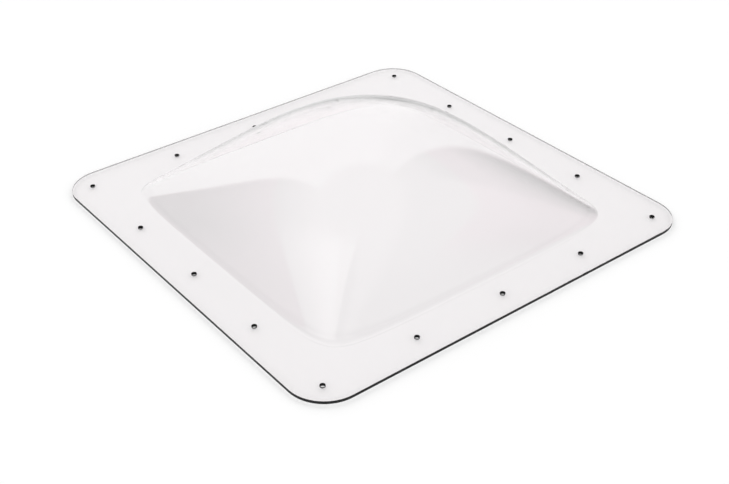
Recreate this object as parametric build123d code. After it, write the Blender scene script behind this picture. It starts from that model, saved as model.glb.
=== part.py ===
from build123d import *
from math import asin, atan, cos, sin, sqrt, tan
import os

# A clear roof skylight for a caravan or camper: one sheet of plastic, formed into a square dome
# that stands on a flat square flange with screw holes round it. Nothing on it moves.
# Millimetres, +Z up. The origin is the centre of the flange's underside, where it meets the roof.

# The sheet
sheet_thickness = 3.2  # 1/8 in, as the clamped flange keeps it
crown_thickness = 2.0  # at the top, where the blown sheet has stretched most

# The dome
dome_base = 361.95  # 14 1/4 in, across the outside of the root bend
dome_height = 92.5  # from the flange's top face to the crown
base_corner_radius = 50.8  # 2 in, of the base outline, seen from above
root_radius = 6.35  # 1/4 in, of the bend from flange to wall, on its outer side
shoulder_roundness = 1.26  # corner radius over half width at the shoulder: 1 is a circle

# The flange
flange_width = 47.625  # 1 7/8 in from the dome's base to the cut edge, which makes 18 in over all
flange_corner_radius = 38.1  # 1 1/2 in
edge_break = 0.3  # chamfer along both rims of the cut edge

# The screw holes: a row along each side, with one hole in each corner
holes_per_side = 5
hole_diameter = 5.2  # 13/64 in, clears a No. 10 screw
hole_edge_distance = 25.4  # 1 in from the cut edge to each row

base_half = dome_base / 2
flange_half = base_half + flange_width
hole_half = flange_half - hole_edge_distance
hole_pitch = 2 * hole_half / (holes_per_side - 1)
quarter_turns = [0, 90, 180, 270]


# Every level of the dome has an outline between a circle and a square. A quarter of it, from the
# middle of the +X side to the middle of the +Y side, is one curve with six control points. The
# first three are given here for a half width of 1, and the other three mirror them.
circle_handle = 4 / 3 * (sqrt(2) - 1)
round_points = [(1, 0), (1, 0.6 * circle_handle), (0.7 + 0.3 * circle_handle, 0.3 + 0.6 * circle_handle)]
square_points = [(1, 0), (1, 0.8), (1, 1)]
round_middle = sqrt(0.5)  # X and Y where the round quarter crosses the diagonal
square_middle = 30 / 32  # and where the square quarter does


def outline(half_width, corner_radius, height):
    corner_cut = (1 - round_middle) * corner_radius / half_width
    squareness = (1 - corner_cut - round_middle) / (square_middle - round_middle)
    points = []
    for (round_x, round_y), (square_x, square_y) in zip(round_points, square_points):
        x = round_x + squareness * (square_x - round_x)
        y = round_y + squareness * (square_y - round_y)
        points.append(Vector(half_width * x, half_width * y, height))
    return points + [Vector(point.Y, point.X, point.Z) for point in reversed(points)]


# How far an outline reaches from the centre along its diagonal, and the corner radius for a reach
def diagonal_reach(half_width, corner_radius):
    return sqrt(2) * half_width - (sqrt(2) - 1) * corner_radius


def corner_for_reach(half_width, reach):
    return (sqrt(2) * half_width - reach) / (sqrt(2) - 1)


# One side of the formed sheet, above a plane at height 0. Its middle section is an arc over the
# crown and a small opposite arc in the root bend, tangent to each other and to the plane. The
# walls are steepest in the middle of the sides and lie flatter at the corners, as in any blown dome.
def dome_faces(rise, bend_radius):
    crown_radius = (base_half**2 + rise**2) / (2 * rise) - bend_radius
    wall_angle = asin(base_half / (crown_radius + bend_radius))
    arc_handle = 4 / 3 * tan(wall_angle / 4) * crown_radius
    foot_half = crown_radius * sin(wall_angle)
    foot_height = rise - crown_radius * (1 - cos(wall_angle))
    shoulder_half = foot_half - arc_handle * cos(wall_angle)
    shoulder_height = foot_height + arc_handle * sin(wall_angle)
    shoulder_corner = shoulder_roundness * shoulder_half

    # The heel is where the wall's tangent comes down to the plane, inside the base outline
    base_reach = diagonal_reach(base_half, base_corner_radius)
    wall_run = base_reach - diagonal_reach(shoulder_half, shoulder_corner)
    corner_angle = atan(shoulder_height / wall_run)
    heel_half = base_half - bend_radius * tan(wall_angle / 2)
    heel_reach = base_reach - bend_radius * tan(corner_angle / 2)

    apex = [Vector(0, 0, rise)] * 6
    crown = outline(arc_handle, arc_handle, rise)
    shoulder = outline(shoulder_half, shoulder_corner, shoulder_height)
    heel = outline(heel_half, corner_for_reach(heel_half, heel_reach), 0)
    foot = [low + (high - low) * (foot_height / shoulder_height) for low, high in zip(heel, shoulder)]
    base = outline(base_half, base_corner_radius, 0)

    bend_weight = cos(wall_angle / 2)  # makes the bend's middle section a true arc
    cap = Face.make_bezier_surface([apex, crown, shoulder, foot])
    bend = Face.make_bezier_surface([foot, heel, base], [[1] * 6, [bend_weight] * 6, [1] * 6])
    return [face.rotate(Axis.Z, turn) for face in (cap, bend) for turn in quarter_turns]


# The flat flange between the base outline and the cut edge, at one height
def flange_face(height):
    quarter = Edge.make_bezier(*outline(base_half, base_corner_radius, height))
    base_wire = Wire([quarter.rotate(Axis.Z, turn) for turn in quarter_turns])
    return Face(cut_edge_wire(height), [base_wire])


def cut_edge_wire(height):
    sketch = RectangleRounded(2 * flange_half, 2 * flange_half, flange_corner_radius)
    return sketch.face().outer_wire().translate((0, 0, height))


# The sheet as one closed shell: top side, underside and the cut edge between them
def formed_sheet():
    top_side = [face.translate((0, 0, sheet_thickness)) for face in dome_faces(dome_height, root_radius)]
    under_rise = dome_height + sheet_thickness - crown_thickness
    underside = dome_faces(under_rise, root_radius + sheet_thickness)
    cut_edge = [
        Face.extrude(edge, (0, 0, sheet_thickness)) for edge in cut_edge_wire(0).edges()
    ]
    flanges = [flange_face(0), flange_face(sheet_thickness)]
    return Solid(Shell(top_side + underside + cut_edge + flanges))


def break_cut_edge(sheet):
    middle_of_flange = base_half + flange_width / 2
    rims = [
        edge
        for edge in sheet.edges()
        if max(abs(edge.center().X), abs(edge.center().Y)) > middle_of_flange
        and edge.bounding_box().size.Z < sheet_thickness / 2
    ]
    return chamfer(rims, edge_break)


def drill_holes(sheet):
    drill = Cylinder(hole_diameter / 2, 3 * sheet_thickness)
    for turn in quarter_turns:
        for step in range(holes_per_side - 1):
            sheet -= Rot(0, 0, turn) * Pos(-hole_half + step * hole_pitch, -hole_half) * drill
    return sheet


skylight_dome = drill_holes(break_cut_edge(formed_sheet()))

os.makedirs("parts", exist_ok=True)
export_step(skylight_dome, "parts/skylight_dome.step")
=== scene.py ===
from math import asin, atan, cos, pi, radians, sin, sqrt, tan

import bpy
from mathutils import Matrix, Vector


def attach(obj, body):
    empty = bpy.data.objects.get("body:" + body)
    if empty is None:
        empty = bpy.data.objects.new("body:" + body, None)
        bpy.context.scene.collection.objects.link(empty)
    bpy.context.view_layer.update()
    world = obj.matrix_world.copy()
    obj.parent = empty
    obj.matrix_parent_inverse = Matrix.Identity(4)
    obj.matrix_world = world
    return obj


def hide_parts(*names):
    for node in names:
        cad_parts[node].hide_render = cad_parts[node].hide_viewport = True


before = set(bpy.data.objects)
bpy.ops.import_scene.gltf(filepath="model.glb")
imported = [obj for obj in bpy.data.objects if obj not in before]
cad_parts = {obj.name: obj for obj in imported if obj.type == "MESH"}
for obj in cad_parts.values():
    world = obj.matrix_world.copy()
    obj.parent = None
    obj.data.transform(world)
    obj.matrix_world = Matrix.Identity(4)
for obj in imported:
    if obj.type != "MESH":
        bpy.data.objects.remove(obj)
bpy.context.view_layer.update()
bpy.ops.object.select_all(action="DESELECT")
scene = bpy.context.scene
scene.view_settings.view_transform = "Standard"


# One output socket of a node tree, so that shader maths reads as plain expressions
class Socket:
    def __init__(self, output):
        self.output = output

    def node(self, kind, settings=(), values=(), result=0):
        made = self.output.id_data.nodes.new(kind)
        for name, value in dict(settings).items():
            setattr(made, name, value)
        for name, value in dict(values).items():
            if isinstance(value, Socket):
                made.id_data.links.new(value.output, made.inputs[name])
            else:
                made.inputs[name].default_value = value
        return Socket(made.outputs[result])

    def other(self, result):
        return Socket(self.output.node.outputs[result])

    def maths(self, operation, *values):
        return self.node("ShaderNodeMath", {"operation": operation}, enumerate(values))

    def __add__(self, other):
        return self.maths("ADD", self, other)

    def __sub__(self, other):
        return self.maths("SUBTRACT", self, other)

    def __rsub__(self, other):
        return self.maths("SUBTRACT", other, self)

    def __mul__(self, other):
        return self.maths("MULTIPLY", self, other)

    __radd__ = __add__
    __rmul__ = __mul__

    def mixColour(self, mask, low, high):
        return self.node("ShaderNodeMix", {"data_type": "RGBA"}, {0: mask, 6: low, 7: high}, 2)

    # 0 below low, 1 above high, and a smooth rise between them
    def rise(self, low, high):
        values = {"Value": self, "From Min": low, "From Max": high}
        return self.node("ShaderNodeMapRange", {"interpolation_type": "SMOOTHSTEP"}, values)

    # a straight run from one pair of (input, output) to another, held at its ends
    def run(self, start, end):
        low = {"From Min": start[0], "To Min": start[1]}
        high = {"From Max": end[0], "To Max": end[1]}
        return self.node("ShaderNodeMapRange", {}, {"Value": self, **low, **high})


# Camera: place in metres, angles in degrees, heading clockwise from +Y, lens and sensor in mm
cameraView = {
    "place": (-0.63361, -0.82537, 0.65561),
    "heading": 37.436,
    "tilt": 34.062,
    "roll": -0.896,
    "lens": 59.395,
    "sensor": 36,
    "nearest": 0.01,
}


def makeCamera():
    data = bpy.data.cameras.new("camera")
    data.lens = cameraView["lens"]
    data.sensor_width = cameraView["sensor"]
    data.clip_start = cameraView["nearest"]
    camera = bpy.data.objects.new("camera", data)
    scene.collection.objects.link(camera)
    heading = Matrix.Rotation(-radians(cameraView["heading"]), 4, "Z")
    tilt = Matrix.Rotation(radians(90 - cameraView["tilt"]), 4, "X")
    roll = Matrix.Rotation(radians(cameraView["roll"]), 4, "Z")
    camera.matrix_world = Matrix.Translation(cameraView["place"]) @ heading @ tilt @ roll
    scene.camera = camera


makeCamera()
print("camera placed")


# Studio: a white panel behind the clear part, a darker room on both sides and a light ceiling. Directions
# are in degrees from the camera's heading, to the right, and above the horizon. Two pairs of
# (degrees, level), where level 1 is white, are a run of light from the first height to the second.
studio = {
    "panelSides": (-52, 28.8),
    "panelLean": 0.06,  # how far its right side leans out for each degree up
    "panelTop": 66,
    "panelSoft": 2,  # degrees of blur at its sides and top
    "panelLight": ((-20, 0.9), (60, 1.47)),
    "panelFade": (5, 20, 0.15),  # it dims by the last value between these directions
    "panelFadeLow": (-5, 15),  # but not below these heights
    "wallTop": (40.5, 43.5),  # where the dark walls end and the light upper walls begin
    "wallTint": (1, 0.78, 0.87, 1),  # the dark walls mirror a little warm
    "leftWall": ((14, 0.03), (42, 0.65)),  # left of the panel
    "leftLight": ((43, 0.62), (66, 1.17)),  # above the wall there
    "farLeft": (-84, -72),  # where the far left comes in
    "farLeftWall": ((10, 0.52), (40, 0.70)),
    "farLeftLight": ((43, 1.0), (65, 1.57)),
    "leftEnd": -130,
    "gapLight": ((17, 0.0), (33, 0.65)),  # the dark gap right of the panel
    "gapTopLight": ((45, 0.0), (58, 0.3)),  # added to it higher up
    "gapEnd": (50, 60),
    "rightLight": ((18, 0.42), (36, 0.95)),
    "rightEnd": (92, 106),
    "ceiling": (62, 74),
    "ceilingLight": 1.2,
    "farLeftCeiling": 1.5,
    "strip": (64.5, 66.5, 79, 81),  # a strip lamp there: from, full, fading, gone
    "stripLight": 0.2,
    "behind": (120, 150),
    "room": 1.0,  # behind the camera and at the far ends
}


def makeStudio():
    world = bpy.data.worlds.new("studio")
    scene.world = world
    world.use_nodes = True
    tree = world.node_tree
    tree.nodes.clear()
    way = Socket(tree.nodes.new("ShaderNodeTexCoord").outputs["Generated"])

    def along(axis):
        return way.node("ShaderNodeVectorMath", {"operation": "DOT_PRODUCT"}, {0: way, 1: axis}, "Value")

    heading = radians(cameraView["heading"])
    forward = along((sin(heading), cos(heading), 0))
    right = along((cos(heading), -sin(heading), 0))
    up = along((0, 0, 1))
    azimuth = way.maths("ARCTAN2", right, forward) * (180 / pi)
    elevation = way.maths("ARCSINE", up) * (180 / pi)

    def mix(mask, low, high):
        return way.node("ShaderNodeMix", {"data_type": "FLOAT"}, {0: mask, 2: low, 3: high})

    def light(name):
        return elevation.run(*studio[name])

    # the panel's sides are sharp, so that the dome mirrors them as crisp lines
    soft = studio["panelSoft"]
    leftEdge, rightEdge = studio["panelSides"]
    onRight = (azimuth - elevation * studio["panelLean"]).rise(rightEdge - soft, rightEdge + soft)
    onLeft = 1 - azimuth.rise(leftEdge - soft, leftEdge + soft)
    farLeft = 1 - azimuth.rise(*studio["farLeft"])

    fadeStart, fadeEnd, fade = studio["panelFade"]
    fade = fade * azimuth.rise(fadeStart, fadeEnd) * elevation.rise(*studio["panelFadeLow"])
    panel = light("panelLight") - fade
    gap = light("gapLight") + light("gapTopLight")
    rightSide = mix(azimuth.rise(*studio["gapEnd"]), gap, light("rightLight"))
    pastRight = azimuth.rise(*studio["rightEnd"])
    rightSide = mix(pastRight, rightSide, studio["room"])
    wallTop = elevation.rise(*studio["wallTop"])
    nearLeftSide = mix(wallTop, light("leftWall"), light("leftLight"))
    farLeftSide = mix(wallTop, light("farLeftWall"), light("farLeftLight"))
    leftSide = mix(farLeft, nearLeftSide, farLeftSide)
    leftEnd = studio["leftEnd"]
    pastLeft = 1 - azimuth.rise(leftEnd - soft, leftEnd + soft)
    leftSide = mix(pastLeft, leftSide, studio["room"])

    stripFrom, stripFull, stripFade, stripEnd = studio["strip"]
    strip = elevation.rise(stripFrom, stripFull) * (1 - elevation.rise(stripFade, stripEnd))
    farLeftCeiling = strip * studio["stripLight"] + studio["farLeftCeiling"]
    ceilingLight = mix(farLeft, studio["ceilingLight"], farLeftCeiling)
    ceiling = elevation.rise(*studio["ceiling"])
    rightSide = mix(ceiling, rightSide, ceilingLight)
    leftSide = mix(ceiling, leftSide, ceilingLight)
    panelTop = studio["panelTop"]
    panel = mix(elevation.rise(panelTop - soft, panelTop + soft), panel, ceilingLight)
    level = mix(onRight, mix(onLeft, panel, leftSide), rightSide)
    behind = azimuth.maths("ABSOLUTE", azimuth).rise(*studio["behind"])
    level = mix(behind, level, studio["room"])

    seen = way.node("ShaderNodeLightPath", result="Is Camera Ray")
    level = mix(seen, level, 1.0)
    onWalls = onLeft - pastLeft + onRight - pastRight
    warm = seen.other("Is Glossy Ray") * onWalls * (1 - wallTop)
    colour = way.mixColour(warm, (1, 1, 1, 1), studio["wallTint"])
    shine = way.node("ShaderNodeBackground", {}, {"Color": colour, "Strength": level})
    end = tree.nodes.new("ShaderNodeOutputWorld")
    tree.links.new(shine.output, end.inputs["Surface"])


makeStudio()
print("studio lit")


def newMaterial(name):
    material = bpy.data.materials.new(name)
    material.use_nodes = True
    material.node_tree.nodes.clear()
    return material, Socket(material.node_tree.nodes.new("ShaderNodeTexCoord").outputs["Object"])


def finishMaterial(material, shader):
    tree = material.node_tree
    end = tree.nodes.new("ShaderNodeOutputMaterial")
    tree.links.new(shader.output, end.inputs["Surface"])
    return material


# Floor: white paper just below the sheet. Were it level with the underside, the two faces would coincide
# and the cut edges would lose their dark inner reflection.
floorPaper = {"size": 60, "height": -0.0015, "white": 0.88, "glow": 0.12}


def makeFloor():
    bpy.ops.mesh.primitive_plane_add(size=floorPaper["size"], location=(0, 0, floorPaper["height"]))
    floor = bpy.context.object
    floor.name = "floor"
    material, place = newMaterial("floorPaper")
    white = floorPaper["white"]
    paper = place.node("ShaderNodeBsdfDiffuse", {}, {"Color": (white, white, white, 1)})
    glow = place.node("ShaderNodeEmission", {}, {"Strength": floorPaper["glow"]})
    finishMaterial(material, place.node("ShaderNodeAddShader", {}, {0: paper, 1: glow}))
    floor.data.materials.append(material)
    bpy.ops.object.transform_apply()


makeFloor()
print("floor laid")


# The formed sheet, in metres: a square dome blown from a flat sheet
sheet = {
    "thickness": 0.0032,
    "crownThickness": 0.002,
    "domeBase": 0.36195,  # across the outside of the root bend
    "domeHeight": 0.0925,  # from the flange's top face to the crown
    "baseCorner": 0.0508,
    "rootBend": 0.00635,
    "shoulderRoundness": 1.26,  # corner radius over half width, 1 is a circle
    "over": 0.4572,
    "flangeCorner": 0.0381,
    "edgeBreak": 0.0003,  # how far the cut edge's rims are taken off
    "holesPerSide": 5,
    "holeRadius": 0.0026,
    "holeEdge": 0.0254,  # from the cut edge to each row
    "stepsAround": 11,  # mesh steps for each control point of a quarter
    "stepsUp": 14,
    "stepsBend": 5,
    "stepsCorner": 16,
    "stepsHole": 32,
    "stepsBreak": 2,
    "lap": 0.0006,  # a narrow flat ring that keeps the bend's shading off the flange
    "smoothUpTo": 15,  # degrees between faces
}
near = 1e-6  # points closer than this, in metres, are one

# At each height, a quarter of the dome's outline is one curve with six control points, which lie between
# a circle's and a square's. These are their first three for a half width of 1, and the others mirror them.
circleHandle = 4 / 3 * (sqrt(2) - 1)
roundPoints = [(1, 0), (1, 0.6 * circleHandle), (0.7 + 0.3 * circleHandle, 0.3 + 0.6 * circleHandle)]
squarePoints = [(1, 0), (1, 0.8), (1, 1)]
roundMiddle = sqrt(0.5)  # X and Y where the round quarter crosses the diagonal
squareMiddle = 30 / 32  # and where the square quarter does


def outline(halfWidth, cornerRadius, height):
    cornerCut = (1 - roundMiddle) * cornerRadius / halfWidth
    squareness = (1 - cornerCut - roundMiddle) / (squareMiddle - roundMiddle)
    points = []
    for (roundX, roundY), (squareX, squareY) in zip(roundPoints, squarePoints):
        x = roundX + squareness * (squareX - roundX)
        y = roundY + squareness * (squareY - roundY)
        points.append(Vector((halfWidth * x, halfWidth * y, height)))
    return points + [Vector((point.y, point.x, point.z)) for point in reversed(points)]


# How far an outline reaches from the centre along its diagonal, and the corner radius for a reach
def diagonalReach(halfWidth, cornerRadius):
    return sqrt(2) * halfWidth - (sqrt(2) - 1) * cornerRadius


def cornerForReach(halfWidth, reach):
    return (sqrt(2) * halfWidth - reach) / (sqrt(2) - 1)


# One NURBS patch lofted through rows of control points, made a mesh
def loftPatch(rows, weights, steps):
    data = bpy.data.curves.new("patch", "SURFACE")
    data.dimensions = "3D"
    for row, weight in zip(rows, weights):
        line = data.splines.new("NURBS")
        line.points.add(len(row) - 1)
        for point, place in zip(line.points, row):
            point.co = (*place, weight)
    patch = bpy.data.objects.new("patch", data)
    scene.collection.objects.link(patch)
    bpy.ops.object.select_all(action="DESELECT")
    bpy.context.view_layer.objects.active = patch
    patch.select_set(True)
    bpy.ops.object.mode_set(mode="EDIT")
    for line in data.splines:
        for point in line.points:
            point.select = True
    bpy.ops.curve.make_segment()
    bpy.ops.object.mode_set(mode="OBJECT")
    surface = data.splines[0]
    surface.use_endpoint_u = True
    surface.use_endpoint_v = True
    surface.order_u = len(rows)
    surface.order_v = len(rows[0])
    surface.resolution_u = steps
    surface.resolution_v = sheet["stepsAround"]
    bpy.ops.object.convert(target="MESH")
    return bpy.context.object


def joinPieces(pieces):
    bpy.ops.object.select_all(action="DESELECT")
    for piece in pieces:
        piece.select_set(True)
    bpy.context.view_layer.objects.active = pieces[0]
    bpy.ops.object.join()
    return bpy.context.object


def mergeDoubles(piece):
    bpy.context.view_layer.objects.active = piece
    bpy.ops.object.mode_set(mode="EDIT")
    bpy.ops.mesh.select_all(action="SELECT")
    bpy.ops.mesh.remove_doubles(threshold=near)
    bpy.ops.object.mode_set(mode="OBJECT")


# The dome and its root bend, above a plane at the given height
def makeSkin(rise, bendRadius, height):
    baseHalf = sheet["domeBase"] / 2
    crownRadius = (baseHalf**2 + rise**2) / (2 * rise) - bendRadius
    wallAngle = asin(baseHalf / (crownRadius + bendRadius))
    arcHandle = 4 / 3 * tan(wallAngle / 4) * crownRadius
    footHalf = crownRadius * sin(wallAngle)
    footHeight = rise - crownRadius * (1 - cos(wallAngle))
    shoulderHalf = footHalf - arcHandle * cos(wallAngle)
    shoulderHeight = footHeight + arcHandle * sin(wallAngle)
    shoulderCorner = sheet["shoulderRoundness"] * shoulderHalf
    baseReach = diagonalReach(baseHalf, sheet["baseCorner"])
    wallRun = baseReach - diagonalReach(shoulderHalf, shoulderCorner)
    cornerAngle = atan(shoulderHeight / wallRun)
    heelHalf = baseHalf - bendRadius * tan(wallAngle / 2)
    heelReach = baseReach - bendRadius * tan(cornerAngle / 2)

    apex = [Vector((0, 0, rise))] * 6
    crown = outline(arcHandle, arcHandle, rise)
    shoulder = outline(shoulderHalf, shoulderCorner, shoulderHeight)
    heel = outline(heelHalf, cornerForReach(heelHalf, heelReach), 0)
    foot = [low + (high - low) * (footHeight / shoulderHeight) for low, high in zip(heel, shoulder)]
    base = outline(baseHalf, sheet["baseCorner"], 0)

    patches = []
    for turn in range(4):
        spin = Matrix.Translation((0, 0, height)) @ Matrix.Rotation(turn * pi / 2, 4, "Z")
        capRows = [[spin @ point for point in row] for row in (apex, crown, shoulder, foot)]
        bendRows = [[spin @ point for point in row] for row in (foot, heel, base)]
        patches.append(loftPatch(capRows, (1, 1, 1, 1), sheet["stepsUp"]))
        patches.append(loftPatch(bendRows, (1, cos(wallAngle / 2), 1), sheet["stepsBend"]))
    skin = joinPieces(patches)
    mergeDoubles(skin)
    return skin


topSkin = makeSkin(sheet["domeHeight"], sheet["rootBend"], sheet["thickness"])
underRise = sheet["domeHeight"] + sheet["thickness"] - sheet["crownThickness"]
underSkin = makeSkin(underRise, sheet["rootBend"] + sheet["thickness"], 0)
print("skins lofted", len(topSkin.data.vertices), len(underSkin.data.vertices))


# Selects the edges or polygons of a piece that a test accepts, and leaves it in edit mode
def choose(piece, kind, test):
    bpy.ops.object.select_all(action="DESELECT")
    bpy.context.view_layer.objects.active = piece
    piece.select_set(True)
    bpy.ops.object.mode_set(mode="EDIT")
    bpy.ops.mesh.select_mode(type={"edges": "EDGE", "polygons": "FACE"}[kind])
    bpy.ops.mesh.select_all(action="DESELECT")
    bpy.ops.object.mode_set(mode="OBJECT")
    for part in getattr(piece.data, kind):
        part.select = test(part)
    bpy.ops.object.mode_set(mode="EDIT")


def chooseRim(skin):
    choose(skin, "edges", lambda edge: False)
    bpy.ops.mesh.select_non_manifold(
        extend=False, use_wire=False, use_multi_face=False, use_non_contiguous=False, use_verts=False
    )


# The narrow flat ring round a skin's rim
def addLap(skin, height):
    wide = 1 + 2 * sheet["lap"] / sheet["domeBase"]
    chooseRim(skin)
    bpy.ops.mesh.extrude_edges_move()
    bpy.ops.transform.resize(value=(wide, wide, 1), center_override=(0, 0, height))
    bpy.ops.object.mode_set(mode="OBJECT")


addLap(topSkin, sheet["thickness"])
addLap(underSkin, 0)


# How far out a point lies towards the nearest side
def reach(point):
    return max(abs(point.x), abs(point.y))


def isUpright(face):
    return abs(face.normal.z) < 0.5


# The flange: cut outline, holes and the dome's opening filled as one flat face, then thickened
def makeFlange(skin):
    half = sheet["over"] / 2
    holeHalf = half - sheet["holeEdge"]
    pitch = 2 * holeHalf / (sheet["holesPerSide"] - 1)

    # the rim of the underside's lap, copied off as a loose ring
    chooseRim(skin)
    bpy.ops.mesh.duplicate()
    bpy.ops.mesh.separate(type="SELECTED")
    bpy.ops.object.mode_set(mode="OBJECT")
    ring = next(piece for piece in bpy.context.selected_objects if piece is not skin)

    # the cut outline: a square with its corners rounded
    bpy.ops.object.select_all(action="DESELECT")
    bpy.ops.mesh.primitive_plane_add(size=sheet["over"])
    outer = bpy.context.object
    bpy.ops.object.mode_set(mode="EDIT")
    bpy.ops.mesh.bevel(offset=sheet["flangeCorner"], segments=sheet["stepsCorner"], affect="VERTICES")
    bpy.ops.mesh.delete(type="ONLY_FACE")
    bpy.ops.object.mode_set(mode="OBJECT")

    loops = [outer, ring]
    for turn in range(4):
        for step in range(sheet["holesPerSide"] - 1):
            along = -holeHalf + step * pitch
            place = Matrix.Rotation(turn * pi / 2, 3, "Z") @ Vector((along, -holeHalf, 0))
            bpy.ops.object.select_all(action="DESELECT")
            bpy.ops.mesh.primitive_circle_add(
                vertices=sheet["stepsHole"], radius=sheet["holeRadius"], location=place
            )
            loops.append(bpy.context.object)
    flange = joinPieces(loops)
    bpy.ops.object.transform_apply()
    choose(flange, "edges", lambda edge: True)
    bpy.ops.mesh.fill(use_beauty=True)
    bpy.ops.mesh.select_all(action="SELECT")
    bpy.ops.mesh.extrude_region_move(TRANSFORM_OT_translate={"value": (0, 0, sheet["thickness"])})
    bpy.ops.object.mode_set(mode="OBJECT")

    # the opening's wall goes: the dome takes its place
    betweenRows = (sheet["domeBase"] / 2 + holeHalf) / 2
    choose(flange, "polygons", lambda face: isUpright(face) and reach(face.center) < betweenRows)
    bpy.ops.mesh.delete(type="FACE")
    bpy.ops.object.mode_set(mode="OBJECT")
    return flange


flange = makeFlange(underSkin)
print("flange made", len(flange.data.vertices), len(flange.data.polygons))


formed = joinPieces([topSkin, underSkin, flange])
formed.name = "formedSheet"
mergeDoubles(formed)
choose(formed, "edges", lambda edge: False)
bpy.ops.mesh.select_all(action="SELECT")
bpy.ops.mesh.normals_make_consistent(inside=False)
bpy.ops.object.mode_set(mode="OBJECT")


def onCutEdge(point):
    radius = sheet["flangeCorner"]
    straight = sheet["over"] / 2 - radius
    x = max(abs(point.x) - straight, 0)
    y = max(abs(point.y) - straight, 0)
    return abs(sqrt(x * x + y * y) - radius) < 10 * near


# Whether an edge is on one of the cut edge's two rims, which are broken
def onCutRim(edge):
    one, two = [formed.data.vertices[index].co for index in edge.vertices]
    onFace = min(abs(one.z), abs(one.z - sheet["thickness"])) < near
    return onFace and abs(one.z - two.z) < near and onCutEdge(one) and onCutEdge(two)


choose(formed, "edges", onCutRim)
bpy.ops.mesh.bevel(offset=sheet["edgeBreak"], segments=sheet["stepsBreak"], profile=0.5, affect="EDGES")
bpy.ops.object.mode_set(mode="OBJECT")


# The clear sheet: polycarbonate, with the slow waves that forming leaves and faint wiping scratches.
# Stretched thinner over the dome, it takes less of the light there than in the flange. The flange's darker
# tint is also partly painted shade, for the floor that lies in shade right under the flat flange.
clearPlastic = {
    # the flange's tint: the sheet's own tint, darkened further as painted shade for the floor beneath it
    "flangeTintAndShade": (0.948, 0.923, 0.931, 1),
    "crownTint": (0.986, 0.959, 0.968, 1),
    "thinningAndShade": (0.003, 0.06),  # heights between which the tint turns from one into the other
    "bendPaintedShade": (0.903, 0.877, 0.886, 1),  # painted shade: the dark line that the bend's refraction casts on the floor beneath it
    "bendShadeRise": (0.0033, 0.0045),  # heights between which the bend's painted shade comes in
    "bendFall": (0.0045, 0.008),  # and goes
    "index": 1.586,
    "shade": (0.923, 0.923, 0.923, 1),  # what one face lets through to the floor
    "waveSize": 0.06,
    "waveHeight": 0.00002,
    "scratchLength": 0.03,
    "scratchWidth": 0.0004,
    "scratchTurns": (28, -16.8),  # degrees, of two families of hairlines that cross
    "scratchShare": (0.66, 0.74),  # higher leaves fewer hairlines
    "patchesPerMetre": 22.0,
    "patchShare": (0.45, 0.65),  # higher leaves smaller patches of them
    "scratchRough": 0.08,
    "scratchDepth": 0.000003,
}


def noise(vector, scale, detail):
    return vector.node("ShaderNodeTexNoise", {}, {"Vector": vector, "Scale": scale, "Detail": detail})


def clearMaterial():
    material, place = newMaterial("clearSheet")
    waves = noise(place, 1 / clearPlastic["waveSize"], 1)

    lengthwise = 1 / clearPlastic["scratchLength"]
    scratches = 0
    for turn in clearPlastic["scratchTurns"]:
        grain = place.node("ShaderNodeMapping", {}, {
            "Vector": place,
            "Rotation": (0, 0, radians(turn)),
            "Scale": (lengthwise, 1 / clearPlastic["scratchWidth"], lengthwise),
        })
        scratches = scratches + noise(grain, 1, 1).rise(*clearPlastic["scratchShare"])
    patches = noise(place, clearPlastic["patchesPerMetre"], 2)
    scratches = scratches * patches.rise(*clearPlastic["patchShare"])

    height = waves * clearPlastic["waveHeight"] - scratches * clearPlastic["scratchDepth"]
    bump = place.node("ShaderNodeBump", {}, {"Strength": 1.0, "Distance": 1.0, "Height": height})
    level = place.node("ShaderNodeSeparateXYZ", {}, {0: place}, "Z")
    # from the flange's tint and painted shade to the crown's thinner tint, by height
    thinnessAndShade = level.rise(*clearPlastic["thinningAndShade"])
    tint = place.mixColour(thinnessAndShade, clearPlastic["flangeTintAndShade"], clearPlastic["crownTint"])
    # painted shade along the root bend, for the dark line its refraction casts on the floor
    inBendShade = level.rise(*clearPlastic["bendShadeRise"]) * (1 - level.rise(*clearPlastic["bendFall"]))
    tint = place.mixColour(inBendShade, tint, clearPlastic["bendPaintedShade"])
    clear = place.node("ShaderNodeBsdfPrincipled", {}, {
        "Base Color": tint,
        "Roughness": scratches * clearPlastic["scratchRough"],
        "IOR": clearPlastic["index"],
        "Transmission Weight": 1.0,
        "Normal": bump,
    })
    through = place.node("ShaderNodeBsdfTransparent", {}, {"Color": clearPlastic["shade"]})
    path = place.node("ShaderNodeLightPath", result="Is Shadow Ray")
    lighting = path.maths("MAXIMUM", path, path.other("Is Diffuse Ray"))
    shader = place.node("ShaderNodeMixShader", {}, {0: lighting, 1: clear, 2: through})
    return finishMaterial(material, shader)


# Where the sheet is cut, its colour is painted shade: the clear plastic looks nearly black at its edges and
# hole walls because light that runs along inside it hardly comes out here, so they are painted dark and let
# little through.
cutFace = {
    "dark": (0.004, 0.004, 0.004, 1),
    "pale": (0.02, 0.02, 0.021, 1),
    "paleShare": (0.35, 0.7),
    "specular": 0.1,
    "roughness": ((0.3, 0.25), (0.7, 0.55)),  # from the hollows of the marks to their ridges
    # the cut faces let little or nothing through, so that the painted shade shows
    "sawnClearness": 0.08,
    "drilledClearness": 0.0,
    "sawnInside": 0.3,  # share of the light inside the sheet that comes out, which the dome's outline needs
    "drilledInside": 0.0,
    "insideRoughness": 0.15,
    "sawPitch": 0.0009,  # between the marks that the saw leaves across the edge
    "drillPitch": 0.00025,  # between the rings that the drill leaves round a hole
    "markLength": 0.02,
    "markDepth": 0.00003,
}


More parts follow.
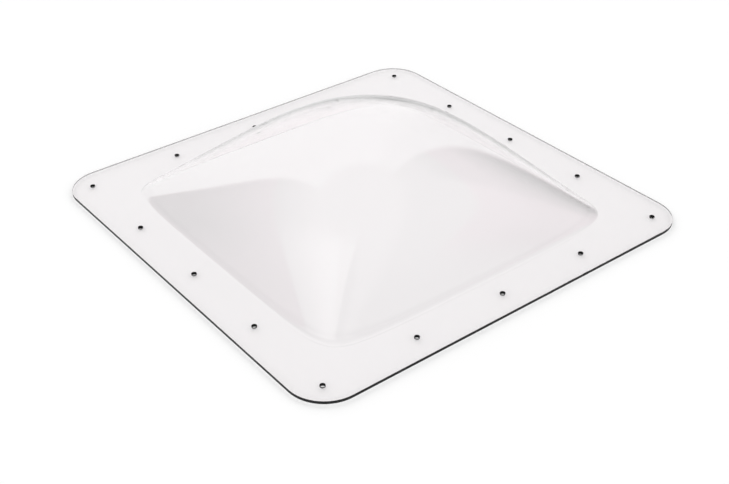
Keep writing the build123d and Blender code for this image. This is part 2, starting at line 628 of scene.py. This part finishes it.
def cutMaterial(name, acrossPitch, upPitch, clearness, inside):
    material, place = newMaterial(name)
    grain = place.node("ShaderNodeMapping", {}, {
        "Vector": place,
        "Scale": (1 / acrossPitch, 1 / acrossPitch, 1 / upPitch),
    })
    marks = noise(grain, 1, 2)
    # painted shade, nearly black, a little paler on the ridges of the saw and drill marks
    tint = place.mixColour(marks.rise(*cutFace["paleShare"]), cutFace["dark"], cutFace["pale"])
    depth = cutFace["markDepth"]
    bump = place.node("ShaderNodeBump", {}, {"Strength": 1.0, "Distance": depth, "Height": marks})
    shader = place.node("ShaderNodeBsdfPrincipled", {}, {
        "Base Color": tint,
        "Roughness": marks.run(*cutFace["roughness"]),
        "IOR": clearPlastic["index"],
        "Specular IOR Level": cutFace["specular"],
        "Transmission Weight": clearness,
        "Normal": bump,
    })
    if inside:
        clear = place.node("ShaderNodeBsdfPrincipled", {}, {
            "Base Color": clearPlastic["flangeTintAndShade"],
            "Roughness": cutFace["insideRoughness"],
            "IOR": clearPlastic["index"],
            "Transmission Weight": 1.0,
        })
        fromInside = place.node("ShaderNodeNewGeometry", result="Backfacing")
        shader = place.node("ShaderNodeMixShader", {}, {0: fromInside * inside, 1: shader, 2: clear})
    return finishMaterial(material, shader)


def sawnMaterial():
    pitches = (cutFace["sawPitch"], cutFace["markLength"])
    return cutMaterial("sawnEdge", *pitches, cutFace["sawnClearness"], cutFace["sawnInside"])


def drilledMaterial():
    pitches = (cutFace["markLength"], cutFace["drillPitch"])
    return cutMaterial("drilledWall", *pitches, cutFace["drilledClearness"], cutFace["drilledInside"])


formed.data.materials.clear()
for material in (clearMaterial(), sawnMaterial(), drilledMaterial()):
    formed.data.materials.append(material)

# dome and flange are clear, and the upright faces out on the flange are cut: at its edge or in a hole
domeEnd = sheet["domeBase"] / 2 + 2 * sheet["lap"]
edgeStart = sheet["over"] / 2 - sheet["holeEdge"] / 2
cornerStart = 2 * edgeStart - sheet["holeEdge"] / 4
for face in formed.data.polygons:
    center = face.center
    if reach(center) < domeEnd or not isUpright(face):
        face.material_index = 0
    elif reach(center) > edgeStart or abs(center.x) + abs(center.y) > cornerStart:
        face.material_index = 1
    else:
        face.material_index = 2
choose(formed, "polygons", lambda face: False)
bpy.ops.object.mode_set(mode="OBJECT")
bpy.ops.object.shade_smooth_by_angle(angle=radians(sheet["smoothUpTo"]))
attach(formed, "root")
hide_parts("skylight_dome")
print("sheet finished")

# Light that runs along inside a clear sheet turns many corners before it comes out
mostTurns = 64
scene.cycles.max_bounces = mostTurns
scene.cycles.transmission_bounces = mostTurns
scene.cycles.glossy_bounces = mostTurns
